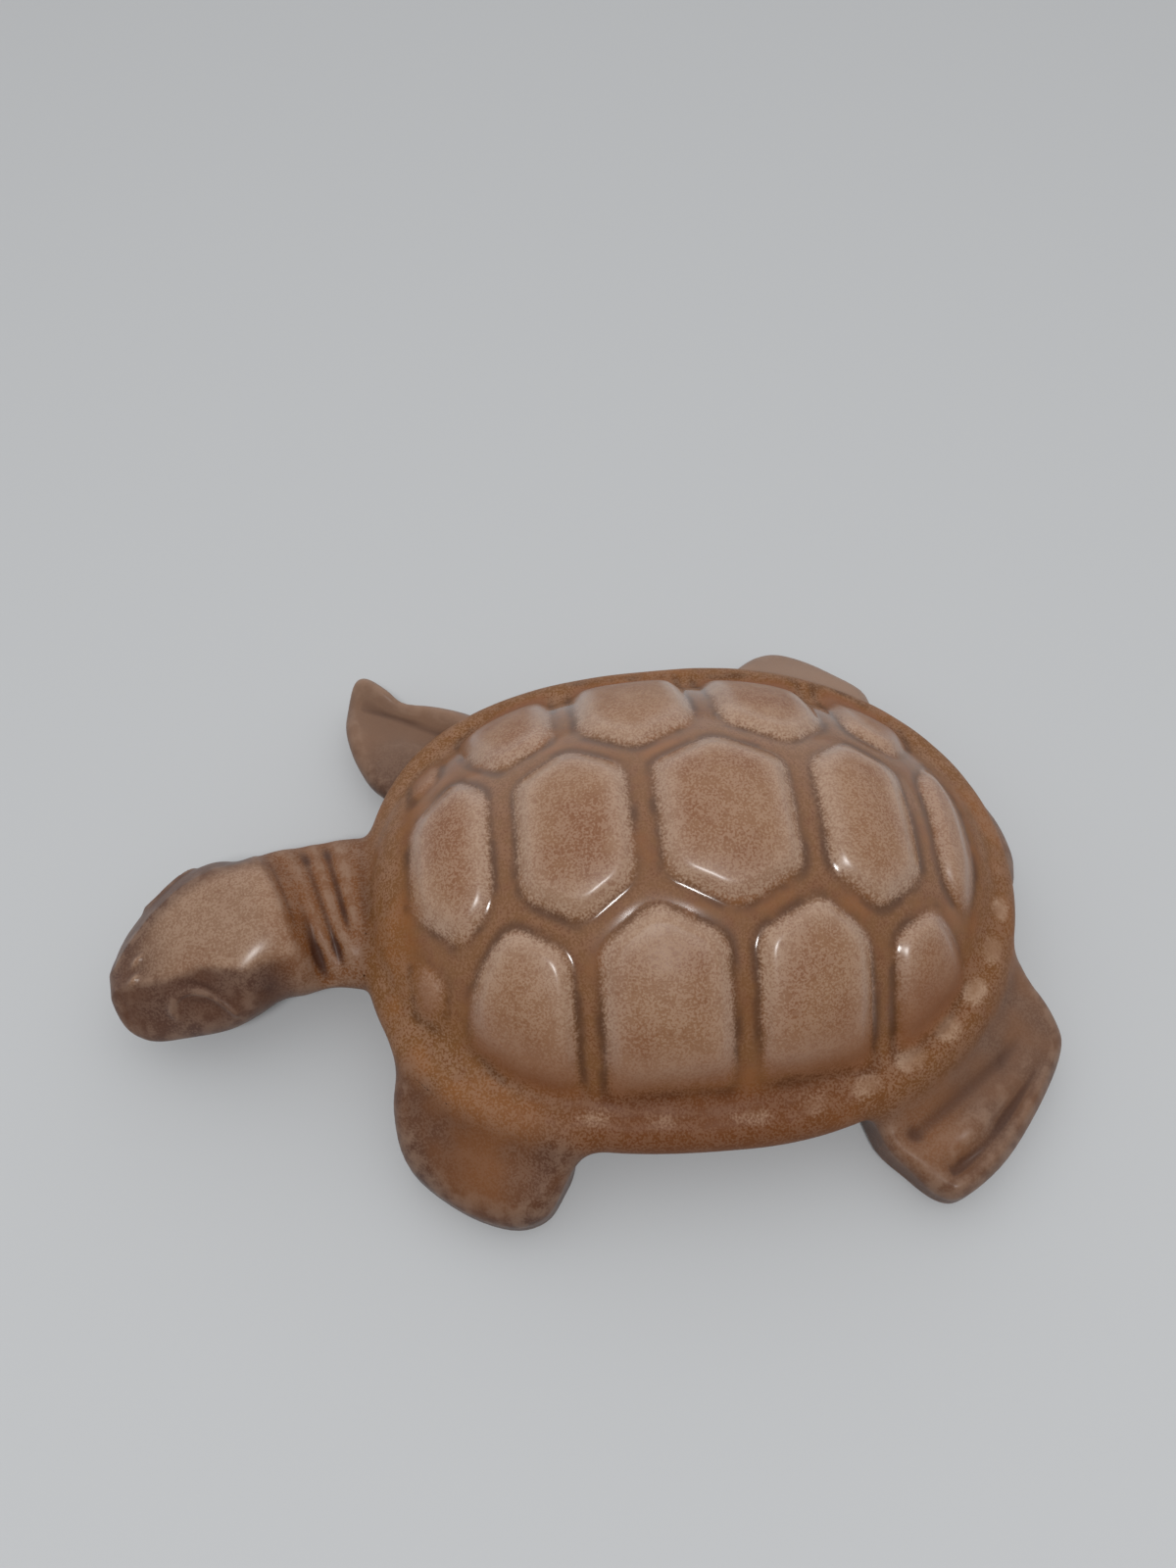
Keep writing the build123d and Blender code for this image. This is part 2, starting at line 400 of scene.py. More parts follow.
def scute_relief(x, y):
    """The height of a scute's pillow over the groove floor, and the fine trench at its foot."""
    depth, number = scute_depth(x, y)
    pillow = scute_height * smooth_step(depth, *scute_shoulder)
    pillow = pillow + pillow_height * smooth_step(depth, 0, pillow_reach)
    relief = pillow - trench_depth * bell(depth, trench_width)
    return relief * np.where(number == faint_scute, faint_height, 1)


def marginal_relief(out, angle):
    """The small raised pads of the rim, from 0 to 1."""
    cell = (angle - marginal_first) / marginal_step
    along = np.abs(cell - np.floor(cell) - 0.5) * marginal_step * half_width
    half_pad = (marginal_step * half_width - marginal_gap) / 2
    pad = smooth_step(half_pad - along, *marginal_soft)
    band = smooth_step(marginal_half_run - np.abs(out + marginal_inset), *marginal_soft)
    return pad * band * smooth_step(marginal_last - angle, 0, marginal_fade)


def carapace_field(x, y, z, out, angle):
    """The shell: scuted dome, rolled front collar and the rim's flange."""
    dome = ellipsoid(x, y, z, dome_centre, dome_radii)
    dome = dome - scute_relief(x, y)
    dome = smooth_max(dome, out + collar_inset, collar_round)
    dome = smooth_max(dome, seat_z - z, seat_round)
    run = np.clip(-(out + lip_radius) / lip_run, 0, 1)
    flange = np.hypot(out + lip_radius + run * lip_run, z - lip_height - run * lip_rise) - lip_radius
    upper = smooth_step(z - lip_height, *marginal_rise)
    flange = flange - marginal_height * marginal_relief(out, angle) * upper
    return smooth_min(dome, flange, lip_blend)


def plastron_field(z, out):
    """The belly dish: a flat foot with a sloping wall up to the rim."""
    slant = math.hypot(plastron_taper, seat_z)
    side = ((out + plastron_inset) * seat_z - (z - seat_z) * plastron_taper) / slant
    dish = smooth_max(side, -z, foot_round)
    return np.maximum(dish, z - seat_z - plastron_blend)


def hollow_field(x, y, z, out):
    """The casting's hollow and the drain hole in the foot."""
    inner = ellipsoid(x, y, z, dome_centre, dome_radii) + wall
    lean = plastron_taper / seat_z
    side = out + plastron_inset + wall + lean * np.maximum(seat_z - z, 0)
    hollow = smooth_max(smooth_max(inner, side, hollow_round), wall - z, hollow_round)
    drain = np.maximum(np.hypot(x - drain_x, y) - drain_radius, z - seat_z)
    return smooth_min(hollow, drain, drain_round)


# The head


def along_neck(x, y):
    """A point of the plan as its run along the neck's line and its offset to the turtle's right."""
    radius = neck_arc / head_turn
    px, py = x - neck_start[0], y - neck_start[1] + radius
    turn = np.arctan2(-px, py)
    run = radius * turn
    side = np.hypot(px, py) - radius
    c, s = math.cos(head_turn), math.sin(head_turn)
    ex, ey = px + radius * s, py - radius * c
    run = np.where(turn > head_turn, neck_arc - c * ex - s * ey, run)
    side = np.where(turn > head_turn, -s * ex + c * ey, side)
    run = np.where(turn < 0, -px, run)
    side = np.where(turn < 0, py - radius, side)
    return run, side


def blunt_ellipsoid(a, b, c, centre, radii):
    """About the distance to an ellipsoid that is squarer in plan."""
    qa, qb, qc = (np.abs(v - m) / r for v, m, r in zip((a, b, c), centre, radii))
    plan = (qa ** muzzle_bluntness + qb ** muzzle_bluntness) ** (1 / muzzle_bluntness)
    return (np.hypot(plan, qc) - 1) * min(radii)


def eye_relief(a, z):
    """A low eye under the raised arc of its lid."""
    over = z - eye_place[1] + eye_tilt * (a - eye_place[0])
    ring = np.hypot((a - eye_place[0]) / eye_reach[0], over / eye_reach[1])
    arc = lid_height * bell(ring - 1, lid_width) * smooth_step(over, *lid_rise)
    return eye_height * bell(ring, eye_spread) + arc


def nostril_relief(a, b):
    """The two nostrils' low bumps, from 0 to 1."""
    across = b - nostril_place[1]
    along = a - nostril_place[0] + nostril_skew * across
    beside = np.abs(across) - nostril_spread
    return bell(np.hypot(along / nostril_reach[0], beside / nostril_reach[1]))


def brow_line(a, b):
    """The offset of the brow from the head's line. The crown leans to the turtle's right."""
    near, far = (np.interp(a, brow_places, widths) for widths in (brow_half_widths, far_brow_half_widths))
    return np.where(b < 0, near, far)


def plate_edge(b):
    """Where the crown plate ends behind, at an offset from the neck's line."""
    return plate_rear + plate_skew * b + plate_curve * b * b


def neck_field(a, b, z, upper):
    """The neck, wider on the left by the shell, with the wrinkles of its nape."""
    swell = smooth_step(a, *neck_swell)
    middle = neck_heights[0] + (neck_heights[1] - neck_heights[0]) * swell
    tall = neck_half_heights[0] + (neck_half_heights[1] - neck_half_heights[0]) * swell
    flare = neck_flare / 2 * smooth_step(a, *neck_flare_run)
    neck = (np.hypot((b + neck_shift + flare) / (neck_half_width + flare), (z - middle) / tall) - 1) * tall
    for place, width, depth, left, right in wrinkles:
        spread = smooth_step(b, left - wrinkle_taper, left) * smooth_step(b, right + wrinkle_taper, right)
        neck = neck + depth * upper * spread * bell(a - wrinkle_slant * b - place, width)
    return smooth_max(neck, a - neck_end, cheek_blend)


def crown_roof(a, b):
    """The height of the crown plate and of the slopes outside its brows."""
    side = np.abs(b)
    brow = brow_line(a, b)
    roof = crown_height - crown_fall * (a - crown_start) - crown_dish * bell(side, crown_dish_width)
    roof = roof + crown_bulge * bell(a - crown_bulge_place, crown_bulge_reach)
    aslant = np.clip(crown_roll_place[1] - b, 0, crown_roll_place[1] + brow)
    roof = roof - crown_roll * bell(a - crown_roll_place[0], crown_roll_reach) * aslant ** 2
    return roof - temple_slope * np.maximum(side - brow, 0)


def head_field(x, y, z):
    """The neck, and the head with its crown plate, temples, eyes and nostrils."""
    a, b = along_neck(x, y)
    side = np.abs(b)
    upper = smooth_step(z, *relief_heights)
    snout = blunt_ellipsoid(a + muzzle_skew * b, side, z, *muzzle)
    head = smooth_min(ellipsoid(a, b, z, *cranium), snout, cheek_blend)
    head = smooth_max(head, jaw_z - z, jaw_round)
    head = smooth_max(head, (z - crown_roof(a, b)) / math.hypot(1, temple_slope), crown_edge)
    temple = np.hypot((a - temple_hollow[0]) / temple_reach[0], (side - temple_hollow[1]) / temple_reach[1])
    head = head + temple_depth * bell(temple) * upper
    head = head - eye_relief(a, z) * smooth_step(side, *eye_sides)
    head = head - nostril_height * nostril_relief(a, b) * upper
    behind = plate_edge(b) - a
    head = head + plate_step * smooth_step(behind, -plate_soft / 2, plate_soft / 2) * upper
    return smooth_min(head, neck_field(a, b, z, upper), nape_blend)


# Flippers and tail


def closed_spline(points):
    """A smooth closed outline through a few points."""
    points = np.array(points)
    before, after, beyond = (np.roll(points, shift, 0) for shift in (1, -1, -2))
    rows = []
    for t in np.arange(outline_samples) / outline_samples:
        rows.append(0.5 * (2 * points + (after - before) * t
                           + (2 * before - 5 * points + 4 * after - beyond) * t ** 2
                           + (3 * points - before - 3 * after + beyond) * t ** 3))
    return np.stack(rows, 1).reshape(-1, 2)


limb_outlines = {name: closed_spline(points) for name, points in outlines.items()}


def plan_distance(x, y, outline):
    """Signed distance in plan to a closed outline, negative inside."""
    nearest = np.full(x.shape, np.inf)
    inside = np.zeros(x.shape, bool)
    for (ax, ay), (bx, by) in zip(outline, np.roll(outline, -1, 0)):
        ex, ey = bx - ax, by - ay
        px, py = x - ax, y - ay
        t = np.clip((px * ex + py * ey) / (ex * ex + ey * ey), 0, 1)
        nearest = np.minimum(nearest, (px - ex * t) ** 2 + (py - ey * t) ** 2)
        inside ^= ((ay > y) != (by > y)) & (px < ex * py / (ey if ey else level_guard))
    return np.sqrt(nearest) * np.where(inside, -1, 1)


def line_offset(x, y, start, end):
    """Signed offset in plan from a line, positive to its left."""
    dx, dy = end[0] - start[0], end[1] - start[1]
    return (dx * (y - start[1]) - dy * (x - start[0])) / math.hypot(dx, dy)


def slab(edge, z, base, top, radius):
    """A plate between two heights inside an outline, with rounded edges."""
    half = np.maximum((top - base) / 2, radius)
    side = edge + radius
    level = np.abs(z - (top + base) / 2) - half + radius
    inside = np.minimum(np.maximum(side, level), 0)
    return inside + np.hypot(np.maximum(side, 0), np.maximum(level, 0)) - radius


def front_right_relief(x, y, out, edge):
    """The ridge, hollow, pad and curled tip of the front right flipper."""
    ridge = line_offset(x, y, *blade_line)
    relief = blade_ridge_height * bell(ridge, blade_ridge_width)
    relief = relief - blade_hollow_depth * bell(ridge - blade_hollow_offset, blade_hollow_width)
    relief = relief + blade_pad_height * spot(x, y, blade_pad_place, blade_pad_reach)
    return relief + blade_curl * smooth_step(out, *blade_curl_run)


def rear_left_relief(x, y, out, edge):
    """The crease, rolled edge, valley and pad of the rear left flipper."""
    crease = line_offset(x, y, *crease_line)
    fading = smooth_step(-edge, *crease_fade) * smooth_step(x, *crease_end_x)
    outer = smooth_step(-crease, *roll_start) * smooth_step(x, *roll_start_x)
    roll = roll_height * bell(edge + roll_inset, roll_width)
    valley = valley_depth * bell(edge + valley_inset, valley_width)
    pad = paddle_pad_height * spot(x, y, paddle_pad_place, paddle_pad_reach)
    return outer * (roll - valley) + pad - crease_depth * fading * bell(crease, crease_width)


limb_reliefs = {
    "front_right_flipper": front_right_relief,
    "rear_left_flipper": rear_left_relief,
}


def limb_top(name, x, y, out, edge):
    """The height of a limb's top, which falls from the rim to the tip and carries the limb's own relief."""
    root, tip, reach, bend = limb_falls[name]
    top = root + (tip - root) * np.clip(out / reach, 0, 1) ** bend
    if name in limb_reliefs:
        top = top + limb_reliefs[name](x, y, out, edge)
    return top


def limb_field(name, x, y, z, out):
    """A flipper or the tail, worked out near its own outline only."""
    outline = limb_outlines[name]
    low, high = outline.min(0), outline.max(0)
    away = np.hypot(np.maximum(np.maximum(low[0] - x, x - high[0]), 0),
                    np.maximum(np.maximum(low[1] - y, y - high[1]), 0))
    field = away + limb_blends[name]
    near = away < limb_blends[name]
    nx, ny, nz, nout = x[near], y[near], z[near], out[near]
    edge = plan_distance(nx, ny, outline)
    field[near] = slab(edge, nz, limb_bases[name], limb_top(name, nx, ny, nout, edge), limb_edges[name])
    return field


# The whole figure


def part_fields(points):
    """The distance to each piece by itself, in the order of piece_names, and to the hollow."""
    x, y, z = points.T
    out, angle = rim_plan(x, y)
    head = np.full(x.shape, clear_of_head)
    ahead = x < head_start_x
    head[ahead] = head_field(x[ahead], y[ahead], z[ahead])
    fields = [head, carapace_field(x, y, z, out, angle), plastron_field(z, out)]
    fields += [limb_field(name, x, y, z, out) for name in outlines]
    return fields, hollow_field(x, y, z, out)


def join(fields, hollow, z):
    """The figure's distance: all pieces with their glaze fillets, flat below, less the hollow."""
    head, carapace, plastron = fields[:3]
    whole = smooth_min(carapace, plastron, plastron_blend)
    whole = smooth_min(whole, head, neck_blend)
    for name, limb in zip(outlines, fields[3:]):
        whole = smooth_min(whole, limb, limb_blends[name])
    return smooth_max(np.maximum(whole, -z), -hollow, drain_round)


def in_blocks(points, work):
    """A function of many points, worked out a block at a time."""
    parts = [work(points[i:i + block_points]) for i in range(0, len(points), block_points)]
    return np.concatenate(parts)


def distance(points):
    """The figure's distance at many points."""
    return in_blocks(points, lambda block: join(*part_fields(block), block[:, 2]))


def labels_of(points):
    """0 outside, or else one more than the place of the owner in piece_names."""
    def work(block):
        fields, hollow = part_fields(block)
        owner = np.argmin([np.maximum(field, 0) for field in fields], 0) + 1
        return np.where(join(fields, hollow, block[:, 2]) < 0, owner, 0).astype(np.int8)
    return in_blocks(points, work)


# Meshing: a grid of labels, a quad across every grid edge whose ends differ, one vertex for each cell


def label_grid():
    """Labels on the fine grid, worked out only where a coarse grid finds a change nearby."""
    low = np.array(cad_box[0]) * metre - room
    high = np.array(cad_box[1]) * metre + room
    cells = np.ceil((high - low) / coarse_step).astype(int)
    corners = np.stack(np.meshgrid(*[np.arange(n + 1) for n in cells], indexing="ij"), -1).reshape(-1, 3)
    coarse = labels_of(low + corners * coarse_step).reshape(cells + 1)
    least, most = coarse, coarse
    for axis in range(3):
        count = least.shape[axis]
        least = np.minimum(least.take(range(count - 1), axis), least.take(range(1, count), axis))
        most = np.maximum(most.take(range(count - 1), axis), most.take(range(1, count), axis))
    busy = least != most
    for axis in range(3):
        busy = busy | np.roll(busy, 1, axis) | np.roll(busy, -1, axis)
    cell_of = np.ix_(*[np.minimum(np.arange(n * fine_factor + 1) // fine_factor, n - 1) for n in cells])
    labels, busy = coarse[cell_of], busy[cell_of]
    step = coarse_step / fine_factor
    labels[busy] = labels_of(low + np.argwhere(busy) * step)
    return labels, low, step


def nets(labels):
    """Quads of cell numbers, with the label on the lower and the upper side of each."""
    quads, sides = [], []
    for axis in range(3):
        count = labels.shape[axis]
        lower, upper = labels.take(range(count - 1), axis), labels.take(range(1, count), axis)
        at = np.argwhere(lower != upper)
        b, c = (axis + 1) % 3, (axis + 2) % 3
        ring = []
        for shift_b, shift_c in ((0, 0), (-1, 0), (-1, -1), (0, -1)):
            cell = at.copy()
            cell[:, b] += shift_b
            cell[:, c] += shift_c
            ring.append(np.ravel_multi_index(cell.T, labels.shape))
        quads.append(np.stack(ring, 1))
        index = tuple(at.T)
        sides.append(np.stack((lower[index], upper[index]), 1))
    return np.concatenate(quads), np.concatenate(sides)


def relax(points, quads, moving, centre, reach):
    """Draws each moving vertex to the mean of its neighbours, within its own cell."""
    starts = quads.ravel()
    ends = np.roll(quads, -1, 1).ravel()
    count = np.bincount(starts, minlength=len(points)) + np.bincount(ends, minlength=len(points))
    total = np.zeros_like(points)
    for i in range(3):
        total[:, i] = np.bincount(starts, points[ends, i], len(points))
        total[:, i] += np.bincount(ends, points[starts, i], len(points))
    target = np.clip(total / np.maximum(count, 1)[:, None], centre - reach, centre + reach)
    return np.where(moving[:, None], target, points)


def slope(points, reach):
    """The mean distance about each point and its gradient, from four probes."""
    mean, gradient = 0, 0
    for corner in np.array(((1, -1, -1), (-1, 1, -1), (-1, -1, 1), (1, 1, 1))):
        value = distance(points + corner * reach)
        mean = mean + value / 4
        gradient = gradient + value[:, None] * corner / (4 * reach)
    return mean, gradient


def sculpt():
    """Vertices on the figure's skin, quads, their labels, unit normals and which vertices are skin."""
    labels, low, step = label_grid()
    quads, sides = nets(labels)
    cells, quads = np.unique(quads, return_inverse=True)
    quads = quads.reshape(-1, 4)
    centre = low + (np.stack(np.unravel_index(cells, labels.shape), 1) + 0.5) * step
    on_skin = (sides == 0).any(1)
    skin = np.zeros(len(centre), bool)
    skin[quads[on_skin]] = True
    points = centre.copy()
    for _ in range(relax_rounds):
        points = relax(points, quads[on_skin], skin, centre, step / 2)
        points = relax(points, quads[~on_skin], ~skin, centre, step / 2)
    normals = np.zeros_like(points)
    for _ in range(project_rounds):
        mean, gradient = slope(points[skin], probe)
        size = np.maximum((gradient ** 2).sum(1), least_slope)
        move = np.clip(mean / size, -step, step)
        points[skin] -= gradient * move[:, None]
        normals[skin] = gradient / np.sqrt(size)[:, None]
    return points, quads, sides, normals, skin


# What the glaze follows, by runs in millimetres, shares, and radians round the rim
shell_seam = (-1.5, 2.5)
rear_run = (5.0, 35.0)
near_pads_run = (5.0, -15.0)
front_pads_share = 0.55
# The rim's near side takes a painted shade, which fades out toward the rear
near_rim_soft = 0.3
near_rim_run = (10.0, -20.0)
rear_rim_loss = 0.7
# The skin is painted paler on the far side, a painted sheen, and is also paler toward the rear
far_sheen_share = 0.62
far_sheen_run = (15.0, 45.0)
rear_pale_share = 0.24
rear_pale_run = (10.0, 40.0)
near_brow_run = (-0.8, 1.0)
far_brow_run = (-0.5, 3.5)
plate_run = (-1.0, 2.0)
crown_tip_run = (46.0, 34.0)
crown_rise = (12.0, 15.0)
face_run = (18.0, 24.0)
face_run_x = (-58.0, -64.0)
neck_run = (22.0, 15.0)
neck_run_x = (-36.0, -40.0)
neck_sides = (18.0, 14.0)

# Warmer spots of the skin: place, reach and share
warm_spots = (((33.0, -44.0), 7.0, 0.6), ((-35.0, -44.0), 6.0, 0.3))


def shell_maps(x, y, out, angle):
    """Maps of the scutes and of the rim, whose pads and painted shade are on the near side."""
    depth, number = scute_depth(x, y)
    behind = smooth_step(x, *rear_run)
    pads = marginal_relief(out, angle) * smooth_step(y, *near_pads_run)
    beside = smooth_step(angle, marginal_last + near_rim_soft, marginal_last - near_rim_soft)
    return {
        "scute_depth": depth - faint_fade * (number == faint_scute),
        "marginal": pads * (front_pads_share + (1 - front_pads_share) * behind),
        "rim_inset": -out,
        "near_rim_shade": beside * smooth_step(y, *near_rim_run) * (1 - rear_rim_loss * behind),
    }


def head_maps(x, y, z):
    """Maps of the crown plate with the nostrils, whose pale is a painted highlight, of the face and of the
    neck.
    """
    a, b = along_neck(x, y)
    side = np.abs(b)
    inside = brow_line(a, b) - side
    brows = np.where(b < 0, smooth_step(inside, *near_brow_run), smooth_step(inside, *far_brow_run))
    plate = brows * smooth_step(a - plate_edge(b), *plate_run) * smooth_step(a, *crown_tip_run)
    return {
        # The nostrils take the crown's pale glaze, a painted highlight
        "crown": np.maximum(plate, nostril_relief(a, b)) * smooth_step(z, *crown_rise),
        "face": smooth_step(a, *face_run) * smooth_step(x, *face_run_x),
        "neck": smooth_step(a, *neck_run) * smooth_step(x, *neck_run_x) * smooth_step(side, *neck_sides),
    }


def glaze_maps(points, skin):
    """What the glaze follows, as one number for each vertex and name."""
    x, y, z = points.T
    fields, _ = part_fields(points)
    head, carapace = fields[:2]
    flesh = np.minimum.reduce([head] + fields[3:])
    bend = np.zeros(len(points))
    bend[skin] = slope(points[skin], curve_probe)[0] * 2 / curve_probe ** 2
    # Painted sheen: the skin is paler on the far side; it is also paler toward the rear
    far_sheen_and_rear_pale = far_sheen_share * smooth_step(y, *far_sheen_run)
    far_sheen_and_rear_pale = far_sheen_and_rear_pale + rear_pale_share * smooth_step(x, *rear_pale_run)
    return {
        "shell": smooth_step(flesh - carapace, *shell_seam),
        "bend": bend,
        "height": z,
        "far_sheen_and_rear_pale": far_sheen_and_rear_pale,
        "warmth": sum(share * spot(x, y, place, reach) for place, reach, share in warm_spots),
        **shell_maps(x, y, *rim_plan(x, y)),
        **head_maps(x, y, z),
    }


# Materials


class Shader:
    """A material's node tree, with short ways to add nodes."""

    def __init__(self, name):
        self.material = bpy.data.materials.new(name)
        self.material.use_nodes = True
        self.tree = self.material.node_tree
        self.surface = self.tree.nodes["Principled BSDF"]
        self.place = self.tree.nodes.new("ShaderNodeTexCoord").outputs["Object"]

    def feed(self, socket, value):
        """A link where the value is an output, or else a constant."""
        if isinstance(value, bpy.types.NodeSocket):
            self.tree.links.new(value, socket)
        else:
            socket.default_value = value

    def attribute(self, name):
        node = self.tree.nodes.new("ShaderNodeAttribute")
        node.attribute_name = name
        return node.outputs["Fac"]

    def put(self, name, value):
        """Sets or links an input of the surface."""
        self.feed(self.surface.inputs[name], value)

    def math(self, operation, *values):
        node = self.tree.nodes.new("ShaderNodeMath")
        node.operation = operation
        for socket, value in zip(node.inputs, values):
            self.feed(socket, value)
        return node.outputs[0]

    def ease(self, value, start, end, low=0.0, high=1.0):
        """A smooth change from low to high as the value goes from start to end."""
        node = self.tree.nodes.new("ShaderNodeMapRange")
        node.interpolation_type = "SMOOTHSTEP"
        for socket, given in zip(node.inputs, (value, start, end, low, high)):
            self.feed(socket, given)
        return node.outputs[0]

    def times(self, first, second):
        return self.math("MULTIPLY", first, second)

    def plus(self, first, second):
        return self.math("ADD", first, second)

    def less(self, first, second):
        return self.math("SUBTRACT", first, second)

    def larger(self, first, second):
        return self.math("MAXIMUM", first, second)

    def between(self, share, low, high):
        """A smooth change from low to high as a share goes from 0 to 1."""
        return self.ease(share, 0.0, 1.0, low, high)

    def noise(self, grain, detail):
        """Noise with a grain in millimetres."""
        node = self.tree.nodes.new("ShaderNodeTexNoise")
        node.inputs["Scale"].default_value = metre / grain
        node.inputs["Detail"].default_value = detail
        self.tree.links.new(self.place, node.inputs["Vector"])
        return node.outputs["Fac"]

    def mix(self, share, first, second):
        """One colour laid over another."""
        node = self.tree.nodes.new("ShaderNodeMix")
        node.data_type = "RGBA"
        self.feed(node.inputs["Factor"], share)
        colours = [socket for socket in node.inputs if socket.type == "RGBA"]
        for socket, value in zip(colours, (first, second)):
            self.feed(socket, value)
        return next(socket for socket in node.outputs if socket.type == "RGBA")

    def bump(self, height, depth):
        """A fine relief, its depth in millimetres."""
        node = self.tree.nodes.new("ShaderNodeBump")
        node.inputs["Distance"].default_value = depth / metre
        self.feed(node.inputs["Height"], height)
        self.tree.links.new(node.outputs["Normal"], self.surface.inputs["Normal"])


def colour(red, green, blue):
    """A colour as it shows, 0 to 255, as linear light by the sRGB curve."""
    shown = np.array((red, green, blue)) / 255
    linear = np.where(shown <= 0.04045, shown / 12.92, ((shown + 0.055) / 1.055) ** 2.4)
    return (*linear, 1.0)


# Colours of the glaze and the clay
pad_pale = colour(188, 158, 133)
pad_tan = colour(141, 101, 71)
pad_brown = colour(121, 71, 37)
honey = colour(121, 80, 45)
# Darker honey for glaze pooling and painted shade in hollows and at the scutes' feet
honey_dark = colour(84, 52, 30)
rim_brown = colour(112, 67, 36)
amber = colour(140, 88, 47)
neck_brown = colour(122, 76, 42)
# The colour of the painted shade on the rim's near side
rim_shade_colour = colour(100, 52, 22)
skin_mauve = colour(84, 54, 39)
face_mauve = colour(80, 54, 44)
# Red for the skin's hollows and low places: glaze pooling and painted shade
skin_red = colour(58, 30, 19)
skin_pale = colour(150, 121, 101)
skin_amber = colour(107, 66, 37)
clay = colour(150, 120, 98)

# Noises of the glaze and the clay: grain in millimetres and detail
speckle_noise = (0.38, 3.0)
fleck_noise = (0.9, 2.0)
mottle_noise = (2.4, 3.0)
patch_noise = (4.5, 3.0)
pool_noise = (8.0, 3.0)
cloud_noise = (11.0, 2.0)
clay_speckle_noise = (0.5, 3.0)
clay_cloud_noise = (9.0, 2.0)

# Changes of the glaze: the start and end of what each follows, and the shares there if not 0 and 1
low_run = (31.0, 17.0)
grain_run = (0.66, 0.84)
rubbed_run = (0.0, 0.35)
# Concave places, darkened for glaze pooling and for painted shade
pool_and_shade_run = (0.0, -0.75)
pad_start_run = (-0.2, 1.4)
pad_edge_run = (5.5, 0.8)
worn_run = (0.58, 0.85, 0.0, 0.75)
fleck_run = (0.56, 0.68)
groove_brown_run = (0.4, 0.7)
groove_amber_run = (0.5, 0.68, 0.0, 0.6)
groove_grain_run = (0.4, 0.6, 0.65, 0.2)
groove_pool_run = (0.4, 0.6, 0.9, 0.3)
foot_outer_run = (-1.6, -0.4)
foot_inner_run = (0.7, -0.1)
foot_pool_run = (0.44, 0.6, 0.1, 0.7)
patch_run = (0.36, 0.62, 0.25, 0.65)
scuff_run = (0.95, 1.65)
rim_run = (9.0, 6.0)
skin_amber_run = (0.35, 0.68)
skin_dust_run = (0.6, 0.4, 0.1, 0.24)
# Painted shade: the skin reddens toward the floor
shade_run = (10.0, 3.0, 0.0, 0.6)
scour_run = (0.35, 0.65, 0.0, 0.35)
coat_run = (8.0, 12.0)
wet_run = (1.6, 0.4)
lustre_run = (5.0, 2.2, 0.0, 0.85)
satin_run = (0.3, 1.0, 1.0, 0.3)
rough_run = (0.3, 0.7, 0.42, 0.56)
clay_pale_run = (0.4, 0.65, 0.0, 0.6)
clay_brown_run = (0.45, 0.65, 0.0, 0.5)
dish_pale_run = (0.45, 0.65, 0.0, 0.5)
dish_glaze_run = (0.8, 1.6)

# How much of each is laid on or added
grain_mottle = 0.5
ragged_speckle = 2.0
ragged_mean = 1.5
pad_edge_pale = 0.25
pad_grain_pale = 0.34
worn_mottle = 0.35
low_brown = 0.85
low_pale_loss = 0.88
fleck_brown = 0.3
scuff_ragged = 0.5
# The share of the painted shade on the rim's near side
painted_rim_shade_share = 0.7
neck_brown_share = 0.75
face_mauve_share = 0.65
neck_dust = 0.3
neck_scour = 0.2
crown_pad = 0.7
crown_coat = 0.6
relief_mottle = 0.7
relief_speckle = 0.3
glaze_relief = 0.12
clay_relief = 0.1

# What a share of 0 and of 1 gives
# Pale dust on the rim, thinner under the painted shade of its near side
rim_dust = (0.18, 0.11)
# The share of the hollows' pooling and painted shade, off and on the neck
neck_sunk = (0.7, 0.9)
neck_coat = (0.3, 0.08)
satin_specular = (0.15, 0.5)
wet_roughness = (0.26, 0.14)
dish_roughness = (0.75, 0.25)


